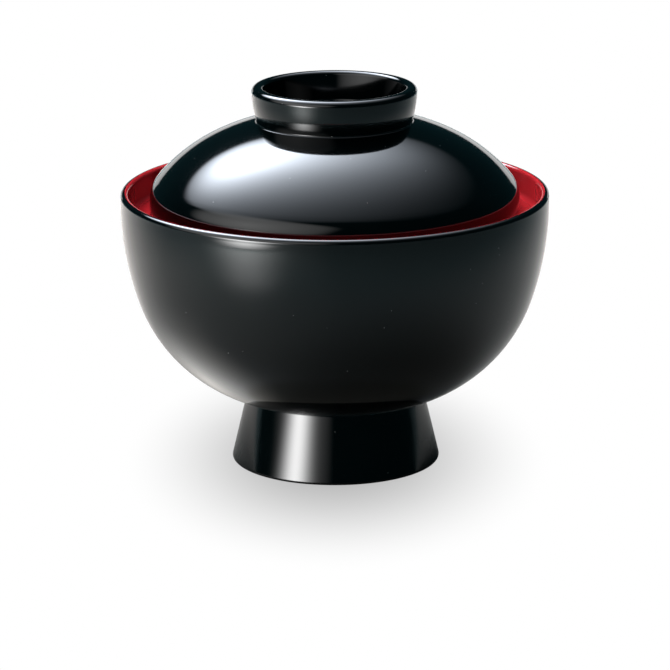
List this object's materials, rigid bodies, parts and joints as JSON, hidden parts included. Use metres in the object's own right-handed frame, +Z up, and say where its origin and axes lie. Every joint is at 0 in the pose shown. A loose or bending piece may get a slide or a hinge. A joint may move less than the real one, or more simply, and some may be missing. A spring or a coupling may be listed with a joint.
{
  "type": "lidded soup bowl",
  "caption": "Round lacquer soup bowl on a high flared foot, black outside and red inside, with a domed lid that sits inside the rim and lifts off by its ring knob.",
  "frame": {"origin": "centre of the foot's base, on the surface that the bowl stands on", "axes": "+Z up along the axis that bowl and lid are turned about; X and Y are free, because both are round"},
  "size_m": [0.128, 0.128, 0.1145],
  "materials": {
    "turned_wood": "bare turned wood under the lacquer",
    "black_lacquer": "polished black lacquer",
    "red_lacquer": "polished red lacquer"
  },
  "bodies": {
    "bowl": {"bowl_core": "turned_wood", "bowl_black_coat": "black_lacquer", "foot_recess_coat": "black_lacquer", "bowl_red_coat": "red_lacquer"},
    "lid": {"lid_core": "turned_wood", "lid_black_coat": "black_lacquer", "lid_red_coat": "red_lacquer"}
  },
  "joints": [
    {"name": "lid_lift", "type": "slide", "parent": "bowl", "child": "lid", "axis": [0, 0, 1], "range_m": [0, 0.1]}
  ]
}
